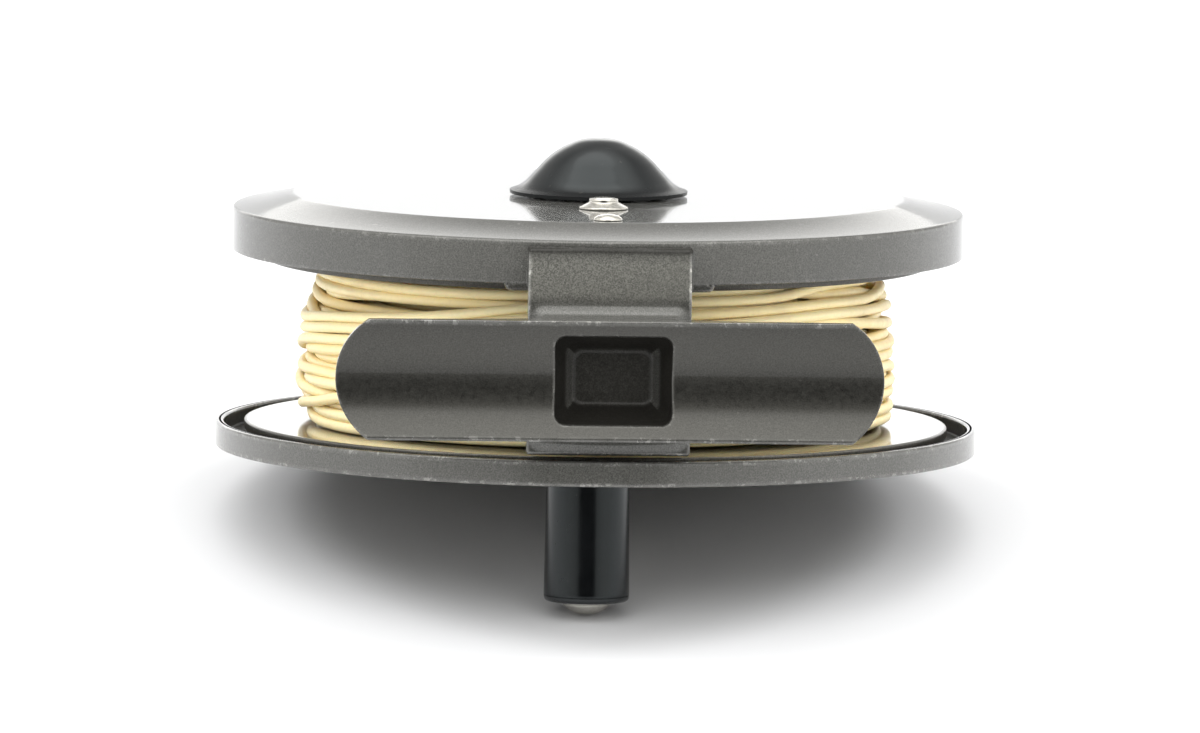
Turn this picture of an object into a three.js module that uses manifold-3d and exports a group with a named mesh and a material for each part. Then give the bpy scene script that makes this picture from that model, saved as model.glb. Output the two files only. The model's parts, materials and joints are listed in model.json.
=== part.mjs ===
// Half-frame, single-action fly fishing reel, wound with backing and fly line.
//
// Units are millimetres. The spool axis is Z, with the back plate and its drag
// knob up and the winding handle down. The reel foot looks towards -Y.
// The heights below are counted from the bottom plane of the palming rim; the
// whole reel is then lifted and moved so that the middle of the bottom of its
// bounding box is the origin.

import * as THREE from "three";
import { mergeVertices } from "three/addons/utils/BufferGeometryUtils.js";
import Module from "manifold-3d";

const wasm = await Module();
wasm.setup();

// ---------------------------------------------------------------- dimensions

// placing of the reel over its origin
const LIFT = 16.0; // the handle's rivet reaches this far below the rim
const SHIFT_Y = 2.15;

// half frame: back plate, ring, pillar and foot in one casting
const PLATE_R = 36.0; // edge of the raised flat
const PLATE_TOP = 30.05;
const PLATE_INNER = 28.05;
const RING_R = 43.26;
const RING_INNER_R = 40.3;
const RING_BOTTOM = 23.34;
const RING_TOP = 28.44;
const PILLAR_W = 19.0;
const PILLAR_OUT_Y = -43.7;
const LUG_HALF = 0.284; // radians to each side of the pillar
const PILLAR_IN_Y = -41.2;
const PILLAR_BOTTOM = 3.58;
const PILLAR_TOP = 27.6;

const FOOT_LOW = 5.7;
const FOOT_HIGH = 19.75;
const FOOT_STRAIGHT = 28.0; // half the length of the straight long edges
const FOOT_END_R = 8.4;
const FOOT_TROUGH_R = 11.4; // seat for the rod's reel seat
const FOOT_CREST_Y = -49.62;
const FOOT_LAND_Y = 9.3; // from y = -40 out to the flat lands along the edges
const FOOT_END_T = 1.5;
const POCKET_MOUTH = [13.6, 10.3];
const POCKET_FLOOR = [9.8, 6.9];
const POCKET_FLOOR_Y = -43.05;

// spindle and its fixing
const SPINDLE_R = 3.0;
const STUD_R = 2.0;
const GROOVE_R = 2.3;

// drag knob and cam
const KNOB_BASE = 30.3;
const KNOB_R = 10.55;
const KNOB_BORE_R = 2.15;
const PIN_AT_R = 7.2;
const PIN_R = 0.9;
const PIN_REST = THREE.MathUtils.degToRad(10);
const KNOB_TRAVEL = THREE.MathUtils.degToRad(150);
const CAM_Z = [26.55, 27.95];

// click mechanism
const TEETH = 24;
const GEAR_TIP_R = 12.2;
const GEAR_ROOT_R = 10.4;
const GEAR_Z = [23.35, 25.2];
const PAWL_AT = [0, -18];
const PAWL_Z = [23.6, 25.1];
const ANCHOR_AT = [0, -33];
const SPRING_Z = [25.5, 27.7];

// spool
const ARBOR_R = 9.0;
const SPOOL_BORE_R = 4.4;
const FRONT_FLANGE_R = 41.6;
const FRONT_FLANGE_Z = [1.9, 3.16];
const BACK_FLANGE_R = 39.4;
const BACK_FLANGE_Z = [22.3, 23.3];
const HUB_R = 10.8;
const HUB_Z = 0.2;

// palming rim
const RIM_R = 45.0;
const RIM_WALL = 1.0;
const RIM_H = 3.02;
const RIM_WEB_IN_R = 39.6;
const RIM_RIVETS = 6;
const RIM_RIVET_AT_R = 40.45;

// winding handle and its counterweight
const HANDLE_AT_R = 34.0;
const HANDLE_ANGLE = THREE.MathUtils.degToRad(-90 - 3.3);
const HANDLE_LOW = -14.4;
const HANDLE_HIGH = 1.15;
const HANDLE_SPINDLE_R = 2.0;

// spool latch
const LATCH_SLIDE_Z = [-0.65, 0.1];
const LATCH_COVER_Z = [-2.2, 0.15];
const LATCH_TRAVEL = 1.2;

// windings
const BACKING_R = 16.4;
const LINE_INNER_R = 16.5;
const LINE_Z = [3.26, 22.2];

// ------------------------------------------------------------------- finishes

const finish = (color, roughness, metalness) =>
  new THREE.MeshStandardMaterial({ color, roughness, metalness });
const gunmetal = finish(0x6f6f68, 0.38, 0.75);
const blackPlastic = finish(0x1b1c1e, 0.22, 0.0);
const nickel = finish(0xa9a69c, 0.25, 1.0);
const steel = finish(0x8c8c8c, 0.35, 1.0);
const springSteel = finish(0x6c6f74, 0.3, 1.0);
const brass = finish(0xb08d4a, 0.35, 1.0);
const silver = finish(0xb9b8b2, 0.3, 0.9);
const lineCream = finish(0xd6caa3, 0.55, 0.0);
const backingWhite = finish(0xd9d6cc, 0.85, 0.0);

// -------------------------------------------------------------------- helpers

// A closed, welded copy with only positions and faces that point out.
function weld(geometry) {
  const g = geometry.index ? geometry.toNonIndexed() : geometry.clone();
  for (const name of Object.keys(g.attributes)) {
    if (name !== "position") g.deleteAttribute(name);
  }
  const w = mergeVertices(g, 1e-4);
  const index = w.index.array;
  const kept = [];
  for (let i = 0; i < index.length; i += 3) {
    const [a, b, c] = [index[i], index[i + 1], index[i + 2]];
    if (a !== b && b !== c && a !== c) kept.push(a, b, c);
  }
  const p = w.attributes.position;
  const [A, B, C] = [new THREE.Vector3(), new THREE.Vector3(), new THREE.Vector3()];
  let volume = 0;
  for (let i = 0; i < kept.length; i += 3) {
    A.fromBufferAttribute(p, kept[i]);
    B.fromBufferAttribute(p, kept[i + 1]);
    C.fromBufferAttribute(p, kept[i + 2]);
    volume += A.dot(B.cross(C));
  }
  if (volume < 0) {
    for (let i = 0; i < kept.length; i += 3) [kept[i], kept[i + 1]] = [kept[i + 1], kept[i]];
  }
  w.setIndex(kept);
  return w;
}

function toSolid(geometry) {
  const w = weld(geometry);
  return new wasm.Manifold(
    new wasm.Mesh({
      numProp: 3,
      vertProperties: new Float32Array(w.attributes.position.array),
      triVerts: new Uint32Array(w.index.array),
    }),
  );
}

function toGeometry(solid) {
  const mesh = solid.getMesh();
  const g = new THREE.BufferGeometry();
  g.setAttribute("position", new THREE.BufferAttribute(new Float32Array(mesh.vertProperties), 3));
  g.setIndex(Array.from(mesh.triVerts));
  const welded = weld(g);
  welded.computeVertexNormals();
  return welded;
}

// A solid of revolution about Z from [r, z] pairs; a profile off the axis is closed.
function turned(profile, segments, at = [0, 0]) {
  const points = profile.map(([r, z]) => new THREE.Vector2(r, z));
  if (points[0].x > 0 || points[points.length - 1].x > 0) points.push(points[0].clone());
  const g = new THREE.LatheGeometry(points, segments);
  g.rotateX(Math.PI / 2);
  g.translate(at[0], at[1], 0);
  const w = weld(g);
  w.computeVertexNormals();
  return w;
}

// A flat outline in XY, given as [x, y] pairs, raised from z0 to z1.
function raised(outline, [z0, z1], holes = []) {
  const shape = new THREE.Shape(outline.map(([x, y]) => new THREE.Vector2(x, y)));
  for (const hole of holes) {
    shape.holes.push(new THREE.Path(hole.map(([x, y]) => new THREE.Vector2(x, y))));
  }
  const g = new THREE.ExtrudeGeometry(shape, { depth: z1 - z0, bevelEnabled: false });
  g.translate(0, 0, z0);
  const w = weld(g);
  w.computeVertexNormals();
  return w;
}

function rod(r, [z0, z1], at = [0, 0], segments = 24) {
  return turned([[0, z0], [r, z0], [r, z1], [0, z1]], segments, at);
}

function circle(r, n = 24, at = [0, 0], phase = 0) {
  return Array.from({ length: n }, (_, i) => {
    const a = phase + (i / n) * Math.PI * 2;
    return [at[0] + r * Math.cos(a), at[1] + r * Math.sin(a)];
  });
}

// The outline of a strip of even thickness along a smooth open curve.
function strip(points, thickness, divisions) {
  const curve = new THREE.CatmullRomCurve3(
    points.map(([x, y]) => new THREE.Vector3(x, y, 0)),
    false,
    "centripetal",
  );
  const left = [];
  const right = [];
  for (let i = 0; i <= divisions; i++) {
    const p = curve.getPoint(i / divisions);
    const t = curve.getTangent(i / divisions);
    left.push([p.x - (t.y * thickness) / 2, p.y + (t.x * thickness) / 2]);
    right.push([p.x + (t.y * thickness) / 2, p.y - (t.x * thickness) / 2]);
  }
  return [...left, ...right.reverse()];
}

const polar = (r, a) => [r * Math.cos(a), r * Math.sin(a)];

function cut(base, ...tools) {
  let solid = toSolid(base);
  for (const tool of tools) solid = solid.subtract(toSolid(tool));
  return toGeometry(solid);
}

const reel = new THREE.Group();
reel.name = "fly_reel";
reel.position.set(0, SHIFT_Y, LIFT);

function add(name, geometry, material) {
  const mesh = new THREE.Mesh(geometry, material);
  mesh.name = name;
  reel.add(mesh);
  return mesh;
}

// --------------------------------------------------------------- half frame

function footSolid() {
  const midZ = (FOOT_LOW + FOOT_HIGH) / 2;
  const halfW = (FOOT_HIGH - FOOT_LOW) / 2;
  const axisY = FOOT_CREST_Y - Math.sqrt(FOOT_TROUGH_R ** 2 - halfW ** 2);
  const bulge = FOOT_END_R - Math.sqrt(FOOT_END_R ** 2 - halfW ** 2);
  const endX = FOOT_STRAIGHT + bulge;

  // wings: a thick trough about an axis along X, thinner towards the ends
  const thick = [
    [endX + 0.5, FOOT_END_T],
    [24, 1.75],
    [18, 2.1],
    [14, 2.45],
    [11, 2.95],
    [9, 3.5],
  ];
  const profile = [
    ...thick.map(([x, t]) => [-x, FOOT_TROUGH_R + t]),
    ...thick.map(([x, t]) => [x, FOOT_TROUGH_R + t]).reverse(),
  ];
  const wingPoints = [
    new THREE.Vector2(0, -endX - 0.5),
    ...profile.map(([x, r]) => new THREE.Vector2(r, x)),
    new THREE.Vector2(0, endX + 0.5),
  ];
  const wings = new THREE.LatheGeometry(wingPoints, 60);
  wings.rotateZ(-Math.PI / 2); // lathe axis Y -> X
  wings.translate(0, axisY, midZ);

  // saddle that joins the wings to the pillar with hollow fillets
  const side = [
    [8.6, PILLAR_OUT_Y + 0.6],
    [9.1, -44.1],
    [9.7, -44.75],
    [10.7, -45.4],
    [12.2, -45.95],
    [14.2, -46.4],
    [17.0, -46.8],
    [17.0, -40 - FOOT_LAND_Y],
  ];
  const saddle = raised(
    [...side, ...side.map(([x, y]) => [-x, y]).reverse()],
    [FOOT_LOW, FOOT_HIGH],
  );

  // its middle facet is square to Y, so that the seat has a flat to rest on
  const facets = 36;
  const trough = new THREE.CylinderGeometry(FOOT_TROUGH_R, FOOT_TROUGH_R, 2 * endX + 6, facets);
  trough.rotateY(Math.PI / facets);
  trough.rotateZ(Math.PI / 2);
  trough.translate(0, axisY, midZ);

  // outline of the foot seen from outside: straight long edges, round ends
  const arc = [];
  const half = Math.asin(halfW / FOOT_END_R);
  for (let i = 0; i <= 8; i++) {
    const a = -half + (2 * half * i) / 8;
    arc.push([FOOT_STRAIGHT - FOOT_END_R * Math.cos(half) + FOOT_END_R * Math.cos(a), FOOT_END_R * Math.sin(a)]);
  }
  const outline = [...arc, ...arc.map(([x, z]) => [-x, -z])];
  // its height stops short of the trough's crests, which leaves a narrow land along each edge
  const plan = raised(outline, [0, FOOT_LAND_Y]);
  plan.rotateX(Math.PI / 2); // raised along Z -> along -Y
  plan.translate(0, -40, midZ);

  return toSolid(wings)
    .intersect(toSolid(plan))
    .add(toSolid(saddle))
    .subtract(toSolid(trough));
}

function pocketSolid() {
  // tapered pocket with round corners, from in front of the trough to its floor
  const rounded = (w, h, r, n = 4) => {
    const pts = [];
    for (const [sx, sy, a0] of [
      [1, 1, 0],
      [-1, 1, 1],
      [-1, -1, 2],
      [1, -1, 3],
    ]) {
      for (let i = 0; i <= n; i++) {
        const a = ((a0 + i / n) * Math.PI) / 2;
        pts.push([sx * (w / 2 - r) + r * Math.cos(a), sy * (h / 2 - r) + r * Math.sin(a)]);
      }
    }
    return pts;
  };
  const midZ = (FOOT_LOW + FOOT_HIGH) / 2;
  const mouthY = -47.2;
  const outY = -51;
  const grow = (outY - POCKET_FLOOR_Y) / (mouthY - POCKET_FLOOR_Y);
  const outer = [0, 1].map((k) => POCKET_FLOOR[k] + (POCKET_MOUTH[k] - POCKET_FLOOR[k]) * grow);
  const a = rounded(...POCKET_FLOOR, 1.2);
  const b = rounded(outer[0], outer[1], 2.2);
  const n = a.length;
  const pos = [];
  for (const [x, z] of a) pos.push(x + 0.4, POCKET_FLOOR_Y, z + midZ);
  for (const [x, z] of b) pos.push(x + 0.4, outY, z + midZ);
  pos.push(0.4, POCKET_FLOOR_Y, midZ, 0.4, outY, midZ);
  const index = [];
  for (let i = 0; i < n; i++) {
    const j = (i + 1) % n;
    index.push(i, j, n + j, i, n + j, n + i);
    index.push(2 * n, j, i, 2 * n + 1, n + i, n + j);
  }
  const g = new THREE.BufferGeometry();
  g.setAttribute("position", new THREE.BufferAttribute(new Float32Array(pos), 3));
  g.setIndex(index);
  return toSolid(g);
}

function slotOutline() {
  // curved slot for the drag pin, with round ends
  const grow = 0.15;
  const [r0, r1] = [PIN_AT_R - PIN_R - grow, PIN_AT_R + PIN_R + grow];
  const [a0, a1] = [PIN_REST - 0.03, PIN_REST + KNOB_TRAVEL + 0.03];
  const out = [];
  for (let i = 0; i <= 16; i++) out.push(polar(r1, a0 + ((a1 - a0) * i) / 16));
  const [ex, ey] = polar(PIN_AT_R, a1);
  for (let i = 1; i < 4; i++) {
    const a = a1 + (Math.PI * i) / 4;
    out.push([ex + (PIN_R + grow) * Math.cos(a), ey + (PIN_R + grow) * Math.sin(a)]);
  }
  for (let i = 0; i <= 16; i++) out.push(polar(r0, a1 - ((a1 - a0) * i) / 16));
  const [sx, sy] = polar(PIN_AT_R, a0);
  for (let i = 1; i < 4; i++) {
    const a = a0 + Math.PI + (Math.PI * i) / 4;
    out.push([sx + (PIN_R + grow) * Math.cos(a), sy + (PIN_R + grow) * Math.sin(a)]);
  }
  return out;
}

function frameCasting() {
  const plate = turned(
    [
      [0, PLATE_INNER],
      [39.2, PLATE_INNER],
      [40.0, 27.75],
      [RING_INNER_R, 27.0],
      [RING_INNER_R, RING_BOTTOM],
      [42.95, RING_BOTTOM],
      [RING_R, 23.62],
      [RING_R, 28.12],
      [42.95, RING_TOP],
      [40.8, 28.8],
      [38.4, 29.32],
      [36.5, 29.86],
      [PLATE_R, PLATE_TOP],
      [0, PLATE_TOP],
    ],
    64,
  );
  const w = PILLAR_W / 2;
  const pillar = raised(
    [
      [w - 0.45, PILLAR_OUT_Y],
      [w, PILLAR_OUT_Y + 0.45],
      [w, PILLAR_IN_Y],
      [-w, PILLAR_IN_Y],
      [-w, PILLAR_OUT_Y + 0.45],
      [-w + 0.45, PILLAR_OUT_Y],
    ],
    [PILLAR_BOTTOM, PILLAR_TOP],
  );
  // a short lug under the ring on each side of the pillar
  const lugArc = (r) => Array.from({ length: 9 }, (_, i) => polar(r, -Math.PI / 2 + LUG_HALF * (i / 4 - 1)));
  const lug = raised([...lugArc(RING_R - 0.1), ...lugArc(RING_INNER_R + 0.5).reverse()], [22.5, 24]);
  const solid = toSolid(plate)
    .add(toSolid(pillar))
    .add(toSolid(lug))
    .add(footSolid())
    .subtract(pocketSolid())
    .subtract(toSolid(rod(2.1, [27, 31], [0, 0], 24)))
    .subtract(toSolid(raised(slotOutline(), [27, 31])))
    .subtract(toSolid(rod(1.6, [27, 31], PAWL_AT, 20)))
    .subtract(toSolid(rod(1.2, [27, 31], ANCHOR_AT, 16)));
  return toGeometry(solid);
}
add("frame_casting", frameCasting(), gunmetal);

// ------------------------------------------------------- spindle and its nut

add(
  "spindle",
  turned(
    [
      [0, -1.9],
      [2.3, -1.9],
      [SPINDLE_R, -1.3],
      [SPINDLE_R, -0.9],
      [GROOVE_R, -0.8],
      [GROOVE_R, 0.25],
      [SPINDLE_R, 0.35],
      [SPINDLE_R, 26.9],
      [5.6, 26.9],
      [5.6, 28.0],
      [STUD_R, 28.0],
      [STUD_R, 34.7],
      [0, 34.7],
    ],
    24,
  ),
  steel,
);

add("spindle_nut", raised(circle(3.81, 6), [30.1, 32.0], [circle(2.1, 24)]), steel);
add(
  "knob_wave_washer",
  turned([[2.15, 32.08], [4.2, 32.08], [4.2, 32.36], [2.15, 32.36]], 24),
  springSteel,
);

// ------------------------------------------------------- drag knob and its cam

{
  const dome = [
    [10.54, 0.42],
    [10.1, 0.56],
    [9.44, 0.86],
    [8.65, 1.5],
    [7.87, 2.33],
    [7.09, 3.16],
    [6.3, 3.99],
    [5.3, 4.83],
    [3.94, 5.66],
    [2.15, 6.43],
    [0, 6.64],
  ].map(([r, h]) => [r, KNOB_BASE + h]);
  const knob = turned(
    [
      [0, 34.95],
      [KNOB_BORE_R, 34.95],
      [KNOB_BORE_R, 32.42],
      [4.6, 32.42],
      [4.6, KNOB_BASE],
      [10.3, KNOB_BASE],
      [KNOB_R, KNOB_BASE + 0.12],
      ...dome,
    ],
    32,
  );
  add(
    "drag_knob",
    cut(knob, rod(PIN_R + 0.05, [30, 31.7], polar(PIN_AT_R, PIN_REST), 16)),
    blackPlastic,
  );
}

add("drag_pin", rod(PIN_R, [26.6, 31.62], polar(PIN_AT_R, PIN_REST), 16), steel);

{
  // ring cam with one rising lobe, staked to the drag pin
  const outline = [];
  for (let i = 0; i < 48; i++) {
    const a = (i / 48) * Math.PI * 2;
    const lobe = Math.max(0, Math.cos((a - THREE.MathUtils.degToRad(135)) / 1.0)) ** 1.5;
    outline.push(polar(9.1 + 2.9 * lobe, a));
  }
  const cam = raised(outline, CAM_Z, [circle(5.9, 32)]);
  add("drag_cam", cut(cam, rod(PIN_R + 0.05, [26, 28.5], polar(PIN_AT_R, PIN_REST), 16)), steel);
}

// ------------------------------------------------------------ click mechanism

add(
  "click_pawl_post",
  turned(
    [
      [0, 23.45],
      [1.5, 23.45],
      [1.5, 25.3],
      [2.2, 25.3],
      [2.2, 28.0],
      [1.5, 28.0],
      [1.5, 30.1],
      [2.9, 30.1],
      [2.9, 30.28],
      [1.72, 30.92],
      [1.7, 31.2],
      [1.45, 31.4],
      [0, 31.42],
    ],
    18,
    PAWL_AT,
  ),
  nickel,
);

{
  const [cx, cy] = PAWL_AT;
  const outline = [
    [0.22, -11.35],
    [0.62, -12.3],
    [1.5, -14.2],
    [2.6, -16.4],
    [2.85, -18.0],
    [2.45, -19.5],
    [1.35, -20.9],
    [1.0, -22.0],
    [0, -22.2],
  ];
  const shape = [...outline, ...outline.slice(0, -1).map(([x, y]) => [-x, y]).reverse()];
  const body = raised(shape, PAWL_Z, [circle(1.62, 24, [cx, cy])]);
  const tail = rod(0.8, [PAWL_Z[0] + 0.4, 27.5], [0, -21.2], 16);
  add("click_pawl", toGeometry(toSolid(body).add(toSolid(tail))), steel);
}

add(
  "pawl_spring",
  raised(
    strip(
      [
        [3.9, -23.6],
        [1.6, -22.7],
        [0, -22.4],
        [-2.4, -22.7],
        [-5.0, -24.4],
        [-5.4, -27.2],
        [-3.6, -30.2],
        [-1.95, -32.4],
        [-1.45, -34.0],
        [0, -34.75],
        [1.45, -34.0],
        [1.95, -32.4],
        [4.6, -28.6],
        [6.6, -23.4],
        [6.0, -17.6],
        [4.6, -13.4],
        [3.4, -12.45],
      ],
      0.42,
      44,
    ),
    SPRING_Z,
  ),
  springSteel,
);

add(
  "spring_anchor_rivet",
  turned(
    [
      [0, 25.2],
      [1.9, 25.2],
      [1.9, 25.42],
      [1.15, 25.42],
      [1.15, 27.78],
      [1.9, 27.78],
      [1.9, 28.0],
      [1.15, 28.0],
      [1.15, 30.1],
      [1.7, 30.1],
      [1.5, 30.48],
      [0.9, 30.74],
      [0, 30.82],
    ],
    14,
    ANCHOR_AT,
  ),
  nickel,
);

// ---------------------------------------------------------------------- spool

const handleAt = polar(HANDLE_AT_R, HANDLE_ANGLE);
const weightAt = polar(HANDLE_AT_R, HANDLE_ANGLE + Math.PI);
const gearRivets = [90, 210, 330].map((d) => polar(8.0 - 0.9, THREE.MathUtils.degToRad(d)));
const rimRivets = Array.from({ length: RIM_RIVETS }, (_, i) =>
  polar(RIM_RIVET_AT_R, HANDLE_ANGLE + Math.PI / RIM_RIVETS + (i / RIM_RIVETS) * Math.PI * 2),
);

{
  const drum = turned(
    [
      [SPOOL_BORE_R, HUB_Z],
      [HUB_R - 0.3, HUB_Z],
      [HUB_R, HUB_Z + 0.3],
      [HUB_R, FRONT_FLANGE_Z[0]],
      [FRONT_FLANGE_R - 0.3, FRONT_FLANGE_Z[0]],
      [FRONT_FLANGE_R, FRONT_FLANGE_Z[0] + 0.3],
      [FRONT_FLANGE_R, FRONT_FLANGE_Z[1] - 0.25],
      [FRONT_FLANGE_R - 0.25, FRONT_FLANGE_Z[1]],
      [ARBOR_R, FRONT_FLANGE_Z[1]],
      [ARBOR_R, BACK_FLANGE_Z[0]],
      [BACK_FLANGE_R - 0.2, BACK_FLANGE_Z[0]],
      [BACK_FLANGE_R, BACK_FLANGE_Z[0] + 0.2],
      [BACK_FLANGE_R, BACK_FLANGE_Z[1] - 0.2],
      [BACK_FLANGE_R - 0.2, BACK_FLANGE_Z[1]],
      [SPOOL_BORE_R, BACK_FLANGE_Z[1]],
    ],
    56,
  );
  add(
    "spool_drum",
    cut(
      drum,
      rod(HANDLE_SPINDLE_R + 0.08, [1, 4], handleAt, 24),
      rod(1.55, [1, 4], weightAt, 20),
      ...rimRivets.map((at) => rod(0.55, [1, 2.75], at, 10)),
      ...gearRivets.map((at) => rod(0.85, [21.2, 24], at, 12)),
      ...[7.6, -7.6].map((y) => rod(0.85, [-1, 1.6], [0, y], 12)),
    ),
    silver,
  );
}

add(
  "bushing_rear",
  turned([[3.15, 18.4], [4.32, 18.4], [4.32, 23.25], [3.15, 23.25]], 24),
  brass,
);
add(
  "bushing_front",
  turned([[3.15, 0.3], [4.32, 0.3], [4.32, 5.2], [3.15, 5.2]], 24),
  brass,
);

{
  const rim = turned(
    [
      [RIM_WEB_IN_R, 0.35],
      [RIM_R - RIM_WALL, 0.35],
      [RIM_R - RIM_WALL + 0.2, 0],
      [RIM_R - 0.25, 0],
      [RIM_R, 0.25],
      [RIM_R, RIM_H - 0.27],
      [RIM_R - 0.27, RIM_H],
      [RIM_R - RIM_WALL + 0.25, RIM_H],
      [RIM_R - RIM_WALL, RIM_H - 0.22],
      [RIM_R - RIM_WALL, 1.0],
      [41.3, 1.0],
      [41.3, 1.85],
      [RIM_WEB_IN_R, 1.85],
    ],
    64,
  );
  add("palming_rim", cut(rim, ...rimRivets.map((at) => rod(0.55, [0, 3], at, 10))), gunmetal);
}
rimRivets.forEach((at, i) =>
  add(
    `rim_rivet_${i + 1}`,
    turned([[0, 0.02], [0.6, 0.08], [0.85, 0.31], [0.5, 0.31], [0.5, 2.7], [0, 2.7]], 10, at),
    nickel,
  ),
);

{
  const outline = [];
  for (let i = 0; i < TEETH; i++) {
    const a = THREE.MathUtils.degToRad(-90) + ((i + 0.5) / TEETH) * Math.PI * 2;
    const d = Math.PI / 180;
    outline.push(polar(GEAR_ROOT_R, a - 3.4 * d));
    outline.push(polar(GEAR_TIP_R, a - 1.1 * d));
    outline.push(polar(GEAR_TIP_R, a + 1.1 * d));
    outline.push(polar(GEAR_ROOT_R, a + 3.4 * d));
  }
  add(
    "ratchet_gear",
    cut(
      raised(outline, GEAR_Z, [circle(5.0, 32)]),
      ...gearRivets.map((at) => rod(0.85, [23, 26], at, 12)),
    ),
    brass,
  );
}
gearRivets.forEach((at, i) =>
  add(
    `gear_rivet_${i + 1}`,
    turned([[0, 21.3], [0.78, 21.3], [0.78, 25.24], [1.3, 25.24], [1.05, 25.6], [0, 25.68]], 12, at),
    steel,
  ),
);

// ------------------------------------------------------------------ the latch

{
  const [z0, z1] = LATCH_COVER_Z;
  const cap = turned(
    [
      [3.4, z0],
      [9.9, z0],
      [HUB_R, z0 + 0.9],
      [HUB_R, z1],
      [3.4, z1],
    ],
    36,
  );
  const channel = raised(
    [
      [-8.4, -3.85],
      [12, -3.85],
      [12, 3.85],
      [-8.4, 3.85],
    ],
    [-0.8, 1],
  );
  add(
    "latch_cover",
    cut(cap, channel, ...[7.6, -7.6].map((y) => rod(0.9, [-3, 1], [0, y], 12))),
    gunmetal,
  );
}

{
  // sprung plate whose oval hole grips the groove in the spindle
  const hole = [];
  for (let i = 0; i <= 10; i++) {
    const a = -Math.PI / 2 + (Math.PI * i) / 10;
    hole.push([1.25 + 3.15 * Math.cos(a), 3.15 * Math.sin(a)]);
  }
  for (let i = 0; i <= 10; i++) {
    const a = Math.PI / 2 + (Math.PI * i) / 10;
    hole.push([0.7 + 3.15 * Math.cos(a), 3.15 * Math.sin(a)]);
  }
  const plate = raised(
    [
      [-5.6, -3.7],
      [9.2, -3.7],
      [9.6, -2.6],
      [13.0, -2.6],
      [13.0, 2.6],
      [9.6, 2.6],
      [9.2, 3.7],
      [-5.6, 3.7],
    ],
    LATCH_SLIDE_Z,
    [hole],
  );
  const lip = raised(
    [
      [12.2, -2.6],
      [13.0, -2.6],
      [13.0, 2.6],
      [12.2, 2.6],
    ],
    [-2.1, 0.0],
  );
  add("latch_slide", toGeometry(toSolid(plate).add(toSolid(lip))), steel);
}

add(
  "latch_spring",
  raised(
    strip(
      [
        [-8.05, -2.9],
        [-5.95, -1.5],
        [-8.05, 0],
        [-5.95, 1.5],
        [-8.05, 2.9],
      ],
      0.26,
      32,
    ),
    [-0.6, 0.05],
  ),
  springSteel,
);

[7.6, -7.6].forEach((y, i) =>
  add(
    `latch_screw_${i + 1}`,
    cut(
      turned(
        [[0, -2.75], [1.3, -2.75], [1.5, -2.55], [1.5, -2.25], [0.78, -2.25], [0.78, 1.5], [0, 1.5]],
        16,
        [0, y],
      ),
      raised(
        [
          [-2, y - 0.2],
          [2, y - 0.2],
          [2, y + 0.2],
          [-2, y + 0.2],
        ],
        [-3, -2.48],
      ),
    ),
    nickel,
  ),
);

// ------------------------------------------------- handle and counterweight

add(
  "handle_base_washer",
  turned([[2.12, 1.25], [4.5, 1.25], [4.5, 1.85], [2.12, 1.85]], 24, handleAt),
  nickel,
);
add(
  "handle_knob",
  turned(
    [
      [2.2, HANDLE_HIGH],
      [4.55, HANDLE_HIGH],
      [4.8, HANDLE_HIGH - 0.25],
      [5.0, -12.9],
      [4.9, -13.6],
      [4.55, -14.15],
      [4.0, HANDLE_LOW],
      [2.2, HANDLE_LOW],
    ],
    28,
    handleAt,
  ),
  blackPlastic,
);
add(
  "handle_spindle",
  turned(
    [
      [0, -16.0],
      [1.2, -15.88],
      [2.1, -15.5],
      [2.7, -14.95],
      [2.9, -14.5],
      [HANDLE_SPINDLE_R, -14.5],
      [HANDLE_SPINDLE_R, 3.1],
      [0, 3.1],
    ],
    20,
    handleAt,
  ),
  nickel,
);
add(
  "counterweight",
  turned([[1.56, 0.6], [4.7, 0.6], [5.0, 0.9], [5.0, 1.85], [1.56, 1.85]], 24, weightAt),
  nickel,
);
add(
  "counterweight_rivet",
  turned(
    [[0, 0.06], [1.2, 0.12], [2.2, 0.4], [2.3, 0.55], [1.48, 0.55], [1.48, 3.1], [0, 3.1]],
    20,
    weightAt,
  ),
  nickel,
);

// ------------------------------------------------------------------- windings

add(
  "backing_winding",
  turned(
    [[ARBOR_R + 0.1, LINE_Z[0]], [BACKING_R, LINE_Z[0]], [BACKING_R, LINE_Z[1]], [ARBOR_R + 0.1, LINE_Z[1]]],
    32,
  ),
  backingWhite,
);
add(
  "fly_line_winding",
  turned(
    [
      [LINE_INNER_R, LINE_Z[0]],
      [36.1, LINE_Z[0]],
      [36.5, 6.5],
      [36.5, 12.0],
      [36.0, 17.0],
      [34.9, 20.5],
      [34.2, LINE_Z[1]],
      [LINE_INNER_R, LINE_Z[1]],
    ],
    48,
  ),
  lineCream,
);

export default reel;
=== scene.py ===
"""Looks of a half-frame, single-action fly fishing reel wound with cream fly line.

Lengths inside the helpers are millimetres in the reel's own measure: the spool
axis is Z through x = y = 0, and z = 0 is the bottom plane of the palming rim.
to_row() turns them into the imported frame's metres.
"""

import json
import math

import bpy
import numpy as np
import openvdb
from mathutils import Matrix, Vector

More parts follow.
